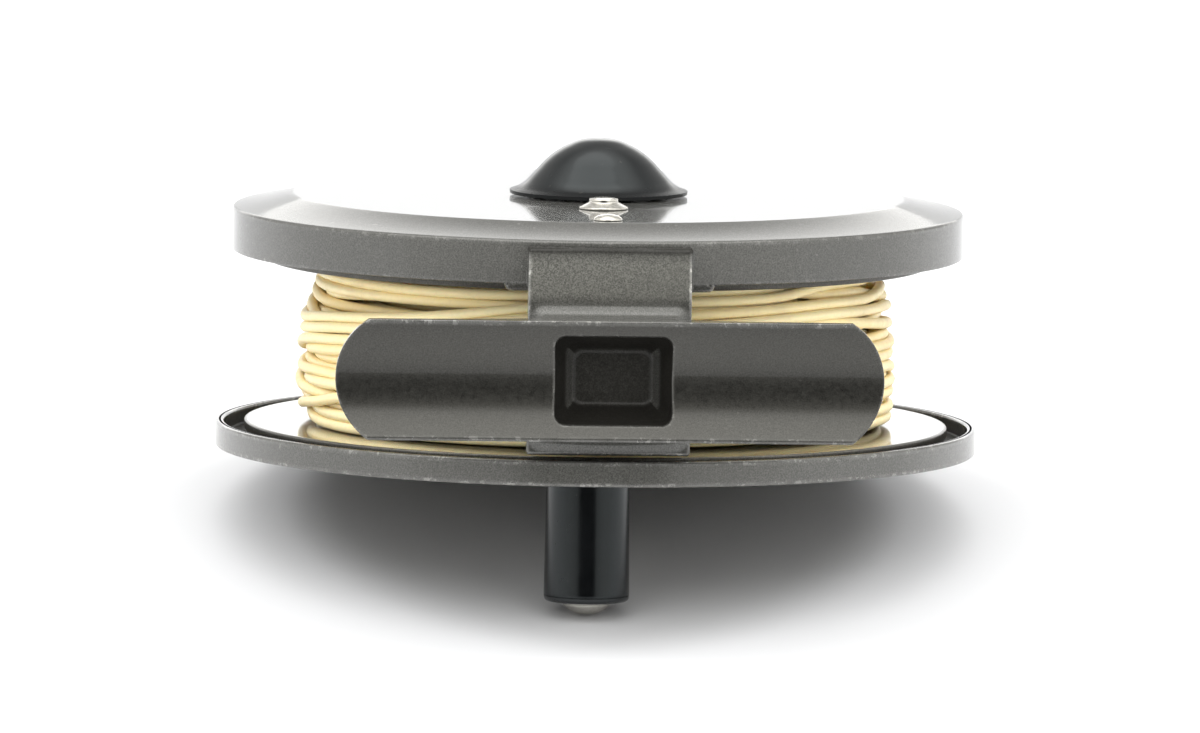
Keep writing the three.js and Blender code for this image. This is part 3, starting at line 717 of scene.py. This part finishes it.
line_pts, line_turns, line_top = wind_line(START_R, 6)
line_pts = settle(line_pts, 34.6)
print("line: turns", line_turns, "outer", round(float(line_top.max()), 2), "mean", round(float(line_top.mean()), 2))
line_ob, line_path = tube("fly_line", line_pts, LINE_D / 2, 29.0)
dress(line_ob, M["line"], "spool", ["fly_line_winding"])

# ----------------------------------------------------------- backing winding

backing = [[9.1, 3.25, 0], [START_R - 0.15, 3.25, 0]]
for k in range(45):
    z0 = 3.25 + 18.9 * k / 45
    for s in (0.15, 0.35, 0.5, 0.65, 0.85):
        backing.append([START_R - 0.15 + 0.16 * math.sin(math.pi * s), z0 + 0.42 * s, 0])
backing += [[START_R - 0.15, 22.2, 0], [9.1, 22.2, 0]]
dress(
    turned("backing", backing, 96, closed=True, sharp=60),
    M["braid"],
    "spool",
    ["backing_winding"],
)

# --------------------------------------------------------------- half frame

CREST_Y, TROUGH_R, HALF_W, MID_Z = -49.62, 11.4, 7.025, 12.725
TROUGH_Y = CREST_Y - math.sqrt(TROUGH_R**2 - HALF_W**2)
END_X = 28.0 - math.sqrt(8.4**2 - HALF_W**2)

slope = [[43.26 - 7.26 * s, 28.44 + 1.61 * (s - 0.16 * s * (1 - s) * 2)] for s in np.linspace(0, 1, 9)]
RING = [
    [0.0, 28.05],
    [40.3, 28.05],
    [40.3, 23.34],
    [43.26, 23.34],
    *slope,
    [0.0, 30.05],
]
RING_RADII = [0, 0.8, 0.25, 0.14, 0.38, *[0] * 7, 0.25, 0]
RING_FINE = rounded(RING, RING_RADII, n=6)


def d_ring(p):
    poly = [q[:2] for q in RING_FINE if q[0] > 30]
    poly = [[30.0, 28.05], *poly, [30.0, 30.05]]
    return d_outline(poly, np.hypot(p[0], p[1]), p[2])


def d_foot_body(p):
    x, y, z = p
    ax = np.abs(x)
    zc = z - MID_Z
    rho = np.hypot(y - TROUGH_Y, zc)
    far = np.maximum(ax - 9.0, 0)
    t = 1.5 + 1.1 * np.exp(-far / 3.5) + 0.9 * np.exp(-far / 9.0)
    end = np.hypot(np.maximum(ax - END_X, 0), zc) - 8.4
    plan = np.maximum(np.abs(zc) - HALF_W, end)
    wings = cut_round(rho - TROUGH_R - t, plan, 0.4)
    saddle = d_box(p, (0, -45.2, MID_Z), (7.9, 1.9, 6.98), 0.3)
    pillar = d_box(p, (0, -42.45, 15.59), (9.5, 1.25, 12.01), 0.38)
    body = join_round(pillar, np.minimum(wings, saddle), 1.8)
    body = cut_round(body, TROUGH_R - rho, 0.1)
    body = cut_round(body, -49.3 - y, 0.1)
    return body


def d_pocket(p):
    """Lightening pocket: a flat floor, a sloped shoulder, then nearly straight walls."""
    x, y, z = p
    h = -43.05 - y
    wide = np.interp(h, [0, 1.3, 3.2, 4.2, 7.0], [4.6, 5.4, 6.65, 6.78, 6.95])
    tall = np.interp(h, [0, 1.3, 3.2, 4.2, 7.0], [3.2, 4.0, 4.95, 5.08, 5.2])
    side = d_rect(x - 0.4, z - MID_Z, wide, tall, 1.3)
    return cut_round(side * 0.85, y + 43.05, 0.4)


def d_lug(p):
    """Short lug under the ring on each side of the pillar."""
    reach = np.abs(np.arctan2(p[0], -p[1])) * 42.2 - 12.1
    return d_round3(np.abs(np.hypot(p[0], p[1]) - 42.05) - 1.15, np.abs(p[2] - 24.0) - 1.5, reach, 0.55)


def d_casting(p):
    body = np.minimum(d_foot_body(p), d_lug(p))
    near = p[2] > 21.5
    ring = np.full(np.shape(p[0]), 5.0)
    if np.any(near):
        ring[near] = d_ring([p[0][near], p[1][near], p[2][near]])
    return cut_round(join_round(body, ring, 0.6), -d_pocket(p), 0.2), ring


def d_casting_alone(p):
    whole, ring = d_casting(p)
    return np.maximum(whole, 0.012 - ring)


foot = field_mesh(
    "frame_pillar_and_foot",
    d_casting_alone,
    (-32.6, -50.0, 3.0),
    (32.6, -39.6, 29.0),
    0.22,
    shade=lambda p: d_casting(p)[0],
    spare=lambda p: np.clip((26.8 - p[2]) / 1.5, 0, 1),
    marks={
        # painted highlight on the face of the pillar above the foot
        "painted_highlight": lambda p: (np.abs(p[1] + 43.7) < 0.45) * np.clip((p[2] - 21.2) / 1.0, 0, 1) * np.clip((9.6 - np.abs(p[0])) / 0.1, 0, 1) * np.clip((27.4 - p[2]) / 1.5, 0, 1),
        # the trough: a smoother finish, and painted shade in its colour
        "polish_and_painted_shade": lambda p: np.clip(1 - np.abs(TROUGH_R - np.hypot(p[1] - TROUGH_Y, p[2] - MID_Z)) / 0.2, 0, 1) * (p[1] < -46.9),
        # painted shade: dark walls and floor in the pocket, lighter on its side shoulders where light falls, and dark
        # at the top of the pillar under the ring
        "painted_shade_and_dirt": lambda p: np.maximum(
            np.clip((np.hypot(p[1] - TROUGH_Y, p[2] - MID_Z) - TROUGH_R - 0.1) / 0.3, 0, 1)
            * (np.abs(d_pocket(p)) < 0.15)
            * np.where(
                np.abs(p[0] - 0.4) - 1.7 > np.abs(p[2] - MID_Z),
                np.interp(-43.05 - p[1], [0, 0.1, 0.3, 1.1, 1.6], [0.75, 0.75, 0.2, 0.2, 1.0]),
                np.interp(-43.05 - p[1], [0, 0.1, 0.4], [0.75, 0.75, 1.0]),
            ),
            0.75 * np.clip((p[2] - 27.0) / 0.25, 0, 1) * (np.abs(p[0]) < 9.6) * (p[1] < -42.0),
        ),
    },
)
dress(foot, M["frame"], "frame", ["frame_casting"])

plate = turned(
    "frame_plate_and_ring",
    RING_FINE,
    256,
    sharp=40,
    keep=0.35,
    # the ring's top slope is made a little darker and rougher
    painted_shade_and_dirt=lambda r, z: 0.3 * np.clip((r - 36.0) / 0.4, 0, 1) * (z > 28.42),
)
dress(plate, M["frame"], "frame", ["frame_casting"])


def cutter(outline, z0, z1):
    """A prism that takes a hole out of the plate."""
    n = len(outline)
    v = [[x, y, z0] for x, y in outline] + [[x, y, z1] for x, y in outline]
    f = [list(range(n))[::-1], list(range(n, 2 * n))]
    f += [[i, (i + 1) % n, n + (i + 1) % n, n + i] for i in range(n)]
    return new_object("cutter", v, f)


def circle(r, n=32, at=(0.0, 0.0)):
    return [
        (at[0] + r * math.cos(2 * math.pi * i / n), at[1] + r * math.sin(2 * math.pi * i / n))
        for i in range(n)
    ]


def slot_outline(r, w, a0, a1, n=32):
    out = [((r + w) * math.cos(a0 + (a1 - a0) * i / n), (r + w) * math.sin(a0 + (a1 - a0) * i / n)) for i in range(n + 1)]
    ex, ey = r * math.cos(a1), r * math.sin(a1)
    out += [(ex + w * math.cos(a1 + math.pi * i / 8), ey + w * math.sin(a1 + math.pi * i / 8)) for i in range(1, 8)]
    out += [((r - w) * math.cos(a1 - (a1 - a0) * i / n), (r - w) * math.sin(a1 - (a1 - a0) * i / n)) for i in range(n + 1)]
    sx, sy = r * math.cos(a0), r * math.sin(a0)
    out += [
        (sx + w * math.cos(a0 + math.pi + math.pi * i / 8), sy + w * math.sin(a0 + math.pi + math.pi * i / 8))
        for i in range(1, 8)
    ]
    return out


def drill(ob, *tools):
    for t in tools:
        m = ob.modifiers.new("hole", "BOOLEAN")
        m.operation, m.solver, m.object = "DIFFERENCE", "EXACT", t
        bpy.context.view_layer.update()
        bpy.context.view_layer.objects.active = ob
        with bpy.context.temp_override(object=ob, active_object=ob, selected_objects=[ob]):
            bpy.ops.object.modifier_apply(modifier=m.name)
        bpy.data.objects.remove(t, do_unlink=True)
    ob.data.set_sharp_from_angle(angle=math.radians(40))


a_rest = math.radians(10)
drill(
    plate,
    cutter(circle(2.1), 27, 31),
    cutter(slot_outline(7.2, 1.06, a_rest - 0.03, a_rest + math.radians(150) + 0.03), 27, 31),
    cutter(circle(1.6, 24, (0, -18)), 27, 31),
    cutter(circle(1.2, 24, (0, -33)), 27, 31),
)

# ---------------------------------------------------------------- drag knob

dome = [
    (10.54, 0.40),
    (10.2, 0.53),
    (9.44, 0.86),
    (8.65, 1.5),
    (7.87, 2.33),
    (7.09, 3.16),
    (6.3, 3.99),
    (5.3, 4.83),
    (3.94, 5.66),
    (2.15, 6.38),
    (0.0, 6.6),
]


def smooth_curve(points, per=6):
    """Catmull-Rom through points, with its ends mirrored."""
    p = [np.array(q, float) for q in points]
    p = [2 * p[0] - p[1], *p, p[-1] * np.array([-1, 1]) + np.array([0, 0])]
    p[-1] = np.array([-points[-2][0], points[-2][1]]) if abs(points[-1][0]) < 1e-6 else 2 * np.array(points[-1]) - np.array(points[-2])
    out = []
    for i in range(1, len(p) - 2):
        for k in range(per):
            t = k / per
            out.append(
                0.5
                * (
                    2 * p[i]
                    + (p[i + 1] - p[i - 1]) * t
                    + (2 * p[i - 1] - 5 * p[i] + 4 * p[i + 1] - p[i + 2]) * t * t
                    + (3 * p[i] - p[i - 1] - 3 * p[i + 1] + p[i + 2]) * t**3
                )
            )
    out.append(np.array(points[-1], float))
    return out


top = [[max(0.0, float(q[0])), 30.3 + float(q[1]), 0.0] for q in smooth_curve(dome, 6)]
top[-1][0] = 0.0
under = rounded(
    [[0, 34.95], [2.15, 34.95], [2.15, 32.42], [4.6, 32.42], [4.6, 30.3], [10.5, 30.3], [10.54, 30.72], [10.5, 30.76]],
    0.05,
    n=3,
)
knob = turned(
    "drag_knob_dome", [*under[:-1], *top[1:]], 160, sharp=50, painted_shade_and_dirt=lambda r, z: 0.75 * np.clip((r - 8.7) / 1.0, 0, 1) * (z > 30.4)
)
dress(knob, M["black"], "knob", ["drag_knob"])

# --------------------------------------------------------- rivets on the plate


def rivet(name, profile, at, body, node, mat="nickel", n=64, r=0.12):
    return dress(turned(name, rounded(profile, r, n=4, land=0.15), n, at), M[mat], body, [node])


rivet(
    "pawl_post_rivet",
    [[0, 23.45], [1.5, 23.45], [1.5, 25.3], [2.2, 25.3], [2.2, 28.0], [1.5, 28.0], [1.5, 30.07], [2.9, 30.07], [2.9, 30.3], [1.74, 30.86], [1.7, 31.28], [0.9, 31.4], [0, 31.43]],
    (0, -18),
    "frame",
    "click_pawl_post",
    r=[0, 0.1, 0.05, 0.1, 0.1, 0.05, 0.05, 0.08, 0.12, 0.12, 0.16, 0.3, 0],
)
rivet(
    "anchor_rivet",
    [[0, 25.2], [1.9, 25.2], [1.9, 25.42], [1.15, 25.42], [1.15, 27.78], [1.9, 27.78], [1.9, 28.0], [1.15, 28.0], [1.15, 30.07], [1.72, 30.07], [1.62, 30.35], [1.25, 30.6], [0.7, 30.76], [0, 30.82]],
    (0, -33),
    "frame",
    "spring_anchor_rivet",
    r=[0, 0.05, 0.05, 0.05, 0.05, 0.05, 0.05, 0.05, 0.05, 0.06, 0.3, 0.4, 0.5, 0],
)

# ---------------------------------------------------------------------- spool

drum = rounded(
    [
        [4.4, 0.2],
        [10.8, 0.2],
        [10.8, 1.9],
        [41.6, 1.9],
        [41.6, 3.16],
        [9.0, 3.16],
        [9.0, 22.3],
        [39.4, 22.3],
        [39.4, 23.3],
        [4.4, 23.3],
    ],
    [0.1, 0.35, 0.4, 0.3, 0.22, 0.3, 0.3, 0.2, 0.2, 0.1],
    closed=True,
    n=5,
)
# painted shade: the back flange (everything above z = 20) and the outer edge of the front flange next to the groove are
# darkened
spool = turned(
    "spool_body", drum, 224, closed=True, sharp=40, painted_shade_and_dirt=lambda r, z: np.where(z > 20, 0.9, np.clip((r - 41.2) / 0.3, 0, 0.7))
)
dress(spool, M["spool"], "spool", ["spool_drum"])

rim_profile = rounded(
    [
        [39.6, 0.35],
        [44.0, 0.35],
        [44.0, 0.0],
        [45.0, 0.0],
        [45.0, 3.02],
        [44.0, 3.02],
        [44.0, 1.0],
        [41.3, 1.0],
        [41.3, 1.85],
        [39.6, 1.85],
    ],
    [0.15, 0.1, 0.22, 0.28, 0.34, 0.3, 0.3, 0.15, 0.1, 0.1],
    closed=True,
    n=6,
)
# painted shade: the floor of the groove and the inner face of the rim wall are darkened
rim = turned(
    "palming_rim_ring",
    rim_profile,
    288,
    closed=True,
    sharp=40,
    keep=0.7,
    painted_shade_and_dirt=lambda r, z: np.clip((44.05 - r) / 0.1, 0, 0.85) * (z < 2.6),
)
dress(rim, M["rim"], "spool", ["palming_rim"])

handle_xy = (34 * math.cos(math.radians(-93.3)), 34 * math.sin(math.radians(-93.3)))
weight_xy = (-handle_xy[0], -handle_xy[1])
for i in range(6):
    a = math.radians(-93.3 + 30 + 60 * i)
    rivet(
        f"rim_rivet_head_{i + 1}",
        [[0, 0.02], [0.5, 0.06], [0.85, 0.3], [0.5, 0.31], [0.5, 2.7], [0, 2.7]],
        (40.45 * math.cos(a), 40.45 * math.sin(a)),
        "spool",
        f"rim_rivet_{i + 1}",
        n=32,
        r=0.06,
    )

# ------------------------------------------------------------- winding handle

grip = rounded(
    [[2.2, 1.15], [4.8, 1.15], [5.0, -13.4], [4.95, -14.4], [2.2, -14.4]],
    [0.1, 0.35, 1.5, 0.8, 0.15],
    closed=True,
    n=8,
)
dress(turned("handle_grip", grip, 128, handle_xy, closed=True, sharp=50), M["black"], "handle", ["handle_knob"])
rivet(
    "handle_rivet",
    [[0, -16.0], [1.3, -15.86], [2.2, -15.42], [2.75, -14.9], [2.9, -14.46], [2.0, -14.46], [2.0, 3.1], [0, 3.1]],
    handle_xy,
    "spool",
    "handle_spindle",
    n=96,
    r=[0, 0.9, 0.8, 0.5, 0.08, 0.05, 0.05, 0],
)
rivet("handle_washer", [[2.12, 1.25], [4.5, 1.25], [4.5, 1.85], [2.12, 1.85], [2.12, 1.26]], handle_xy, "spool", "handle_base_washer", r=0.1)
weight = rounded([[1.56, 0.6], [5.0, 0.6], [5.0, 1.85], [1.56, 1.85]], [0.1, 0.35, 0.1, 0.1], closed=True)
dress(turned("counterweight_disc", weight, 96, weight_xy, closed=True), M["nickel"], "spool", ["counterweight"])
rivet(
    "counterweight_rivet_head",
    [[0, 0.04], [1.2, 0.12], [2.2, 0.4], [2.3, 0.56], [1.48, 0.56], [1.48, 3.1], [0, 3.1]],
    weight_xy,
    "spool",
    "counterweight_rivet",
    r=[0, 0.6, 0.2, 0.05, 0.05, 0.05, 0],
)

# ------------------------------------------------------------------- latch hub


def d_cover(p):
    x, y, z = p
    r = np.hypot(x, y)
    body = cut_round(r - 10.8, -2.2 - z, 0.9)
    body = np.maximum(body, z - 0.15)
    body = cut_round(body, 3.4 - r, 0.3)
    channel = np.maximum(np.maximum(np.abs(y) - 3.85, -8.4 - x), -0.8 - z)
    body = cut_round(body, -channel, 0.1)
    for s in (7.6, -7.6):
        body = cut_round(body, 0.9 - np.hypot(x, y - s), 0.15)
    return body


dress(
    field_mesh("latch_hub_cover", d_cover, (-11.4, -11.4, -2.8), (11.4, 11.4, 0.8), 0.2),
    M["cover"],
    "spool",
    ["latch_cover"],
)


def d_slide(p):
    x, y, z = p
    w = np.where(x > 9.4, 2.6, 3.7)
    plan = np.maximum(np.maximum(np.abs(y) - w, -5.6 - x), x - 13.0)
    flat = np.maximum(-0.65 - z, z - 0.1)
    body = cut_round(plan, flat, 0.1)
    lip = d_box(p, (12.6, 0, -1.0), (0.4, 2.6, 1.1), 0.2)
    body = join_round(body, lip, 0.25)
    hole = np.minimum(np.hypot(x - 0.7, y), np.hypot(x - 1.25, y)) - 3.15
    return cut_round(body, -hole, 0.08)


dress(
    field_mesh("latch_slide_plate", d_slide, (-6.2, -4.3, -2.6), (13.6, 4.3, 0.6), 0.14),
    M["steel"],
    "latch",
    ["latch_slide"],
)

for i, s in enumerate((7.6, -7.6)):

    def d_screw(p, s=s):
        x, y, z = p
        r = np.hypot(x, y - s)
        head = cut_round(r - 1.5, np.maximum(-2.75 - z, z + 2.25), 0.15)
        shank = np.maximum(r - 0.78, np.maximum(-2.3 - z, z - 1.5))
        slot = np.maximum(np.abs(y - s) - 0.2, z + 2.45)
        return cut_round(np.minimum(head, shank), -slot, 0.04)

    dress(
        field_mesh(f"latch_screw_head_{i + 1}", d_screw, (-2, s - 2, -3.2), (2, s + 2, 2.0), 0.1),
        M["nickel"],
        "spool",
        [f"latch_screw_{i + 1}"],
    )

# ------------------------------------------- CAD nodes that keep their shape

KEPT = {
    "spindle": "steel",
    "spindle_nut": "steel",
    "knob_wave_washer": "spring",
    "drag_pin": "steel",
    "drag_cam": "steel",
    "click_pawl": "steel",
    "pawl_spring": "spring",
    "bushing_rear": "brass",
    "bushing_front": "brass",
    "ratchet_gear": "brass",
    "gear_rivet_1": "steel",
    "gear_rivet_2": "steel",
    "gear_rivet_3": "steel",
    "latch_spring": "spring",
}
for node, key in KEPT.items():
    ob = frame["nodes"][node]
    ob.data.materials.clear()
    ob.data.materials.append(M[key])
    bevel = ob.modifiers.new("edge", "BEVEL")
    bevel.width, bevel.segments, bevel.limit_method = 0.00006, 2, "ANGLE"
    bevel.angle_limit = math.radians(35)

# ------------------------------------------------------------ floor and light


def lie_down():
    """The plane that touches the end of the handle in front and the rim behind: (unit normal, distance), in the row frame."""
    front = np.concatenate([np.array([v.co for v in bpy.data.objects[n].data.vertices]) for n in ("handle_rivet", "handle_grip")])
    back = np.array([v.co for v in bpy.data.objects["palming_rim_ring"].data.vertices])
    lo, hi = math.radians(5), math.radians(20)
    for _ in range(40):
        a = (lo + hi) / 2
        n = np.array([0, -math.sin(a), math.cos(a)])
        if (front @ n).min() < (back @ n).min():
            lo = a
        else:
            hi = a
    return n, float((front @ n).min())


normal, level = lie_down()
print("floor tilt", round(math.degrees(math.atan2(-normal[1], normal[2])), 3))

floor_mat = Nodes("studio_floor")
floor_mat.set(
    Base_Color=floor_mat.mix(floor_mat.span(floor_mat.noise(3.0, 3.0), 0.3, 0.7, 0, 1), (0.6, 0.605, 0.62), (0.63, 0.635, 0.65)),
    Roughness=0.62,
)
across = Vector((1, 0, 0))
uphill = Vector(normal).cross(across)
foot_of = Vector(normal) * level
S = 12.0
me = bpy.data.meshes.new("floor")
me.from_pydata(
    [tuple(foot_of + across * x * S + uphill * y * S) for x, y in ((-1, -1), (1, -1), (1, 1), (-1, 1))],
    [],
    [(0, 1, 2, 3)],
)
floor = bpy.data.objects.new("floor", me)
bpy.context.scene.collection.objects.link(floor)
me.materials.append(floor_mat.mat)

# direction, cosine where it starts, cosine where it is full, radiance
SKY = (
    ((0, 0, 1), -1.5, -1.2, 0.75),
    ((0.0, 1.0, 0.0), 0.79, 1.0, 2.1),
    ((-0.05, -0.38, 0.92), 0.5, 0.9, 1.85),
    ((-1, -0.15, 0.15), 0.45, 0.95, 0.46),
    ((1, -0.3, 0.1), 0.45, 0.95, 0.62),
)
DARK = ((-0.035, -1.0, 0.08), 0.87, 0.95, 0.97)
world = bpy.data.worlds.new("studio")
bpy.context.scene.world = world
world.use_nodes = True
wt = world.node_tree
wt.nodes.clear()
w_out = wt.nodes.new("ShaderNodeOutputWorld")
w_bg = wt.nodes.new("ShaderNodeBackground")
w_tc = wt.nodes.new("ShaderNodeTexCoord")


def lobe(direction, start, full, strength):
    """Light that comes from around one direction: none at cosine start, all at cosine full."""
    dot = wt.nodes.new("ShaderNodeVectorMath")
    dot.operation = "DOT_PRODUCT"
    dot.inputs[1].default_value = Vector(direction).normalized()
    wt.links.new(w_tc.outputs["Generated"], dot.inputs[0])
    ease = wt.nodes.new("ShaderNodeMapRange")
    ease.interpolation_type = "SMOOTHSTEP"
    for key, v in (("From Min", start), ("From Max", full), ("To Min", 0.0), ("To Max", strength)):
        ease.inputs[key].default_value = v
    wt.links.new(dot.outputs["Value"], ease.inputs["Value"])
    return ease.outputs[0]


total = None
for args in SKY:
    one = lobe(*args)
    if total is not None:
        plus = wt.nodes.new("ShaderNodeMath")
        wt.links.new(total, plus.inputs[0])
        wt.links.new(one, plus.inputs[1])
        one = plus.outputs[0]
    total = one
w_hole = wt.nodes.new("ShaderNodeMath")
w_hole.operation = "SUBTRACT"
w_hole.inputs[0].default_value = 1.0
wt.links.new(lobe(*DARK), w_hole.inputs[1])
w_lit = wt.nodes.new("ShaderNodeMath")
w_lit.operation = "MULTIPLY"
wt.links.new(total, w_lit.inputs[0])
wt.links.new(w_hole.outputs[0], w_lit.inputs[1])
total = w_lit.outputs[0]
w_tint = wt.nodes.new("ShaderNodeCombineColor")
for key, k in (("Red", 1.0), ("Green", 0.995), ("Blue", 0.975)):
    w_mul = wt.nodes.new("ShaderNodeMath")
    w_mul.operation = "MULTIPLY"
    wt.links.new(total, w_mul.inputs[0])
    w_mul.inputs[1].default_value = k
    wt.links.new(w_mul.outputs[0], w_tint.inputs[key])
w_white = wt.nodes.new("ShaderNodeBackground")
w_white.inputs[0].default_value = (1, 1, 1, 1)
w_white.inputs[1].default_value = 1.1
w_mix = wt.nodes.new("ShaderNodeMixShader")
w_lp = wt.nodes.new("ShaderNodeLightPath")
wt.links.new(w_tint.outputs[0], w_bg.inputs[0])
w_bg.inputs[1].default_value = 1.0
wt.links.new(w_lp.outputs["Is Camera Ray"], w_mix.inputs[0])
wt.links.new(w_bg.outputs[0], w_mix.inputs[1])
wt.links.new(w_white.outputs[0], w_mix.inputs[2])
wt.links.new(w_mix.outputs[0], w_out.inputs[0])


def sun(name, strength, direction, angle):
    data = bpy.data.lights.new(name, "SUN")
    data.energy, data.angle = strength, math.radians(angle)
    ob = bpy.data.objects.new(name, data)
    bpy.context.scene.collection.objects.link(ob)
    ob.rotation_mode = "QUATERNION"
    ob.rotation_quaternion = Vector(direction).to_track_quat("-Z", "Y")
    return ob


sun("key", 0.35, (0.1, 0.0, -1.0), 45)
# the glow of light that goes from strand to strand inside the winding
glow = sun("line_fill", 3.3, (0.03, 1.0, -0.08), 75)
strands = bpy.data.collections.new("line_fill_receivers")
strands.objects.link(line_ob)
glow.light_linking.receiver_collection = strands
# two side boxes that only light the table, so its shadow stays under the reel
table = bpy.data.collections.new("side_box_receivers")
table.objects.link(floor)
for name, x in (("side_box_left", 1.0), ("side_box_right", -1.0)):
    box = sun(name, 1.35, (x, -0.5, -0.85), 20)
    box.light_linking.receiver_collection = table

bpy.context.scene.view_settings.view_transform = "Standard"
bpy.context.scene.view_settings.look = "None"

# ------------------------------------------------------------------- the end

bpy.context.view_layer.update()
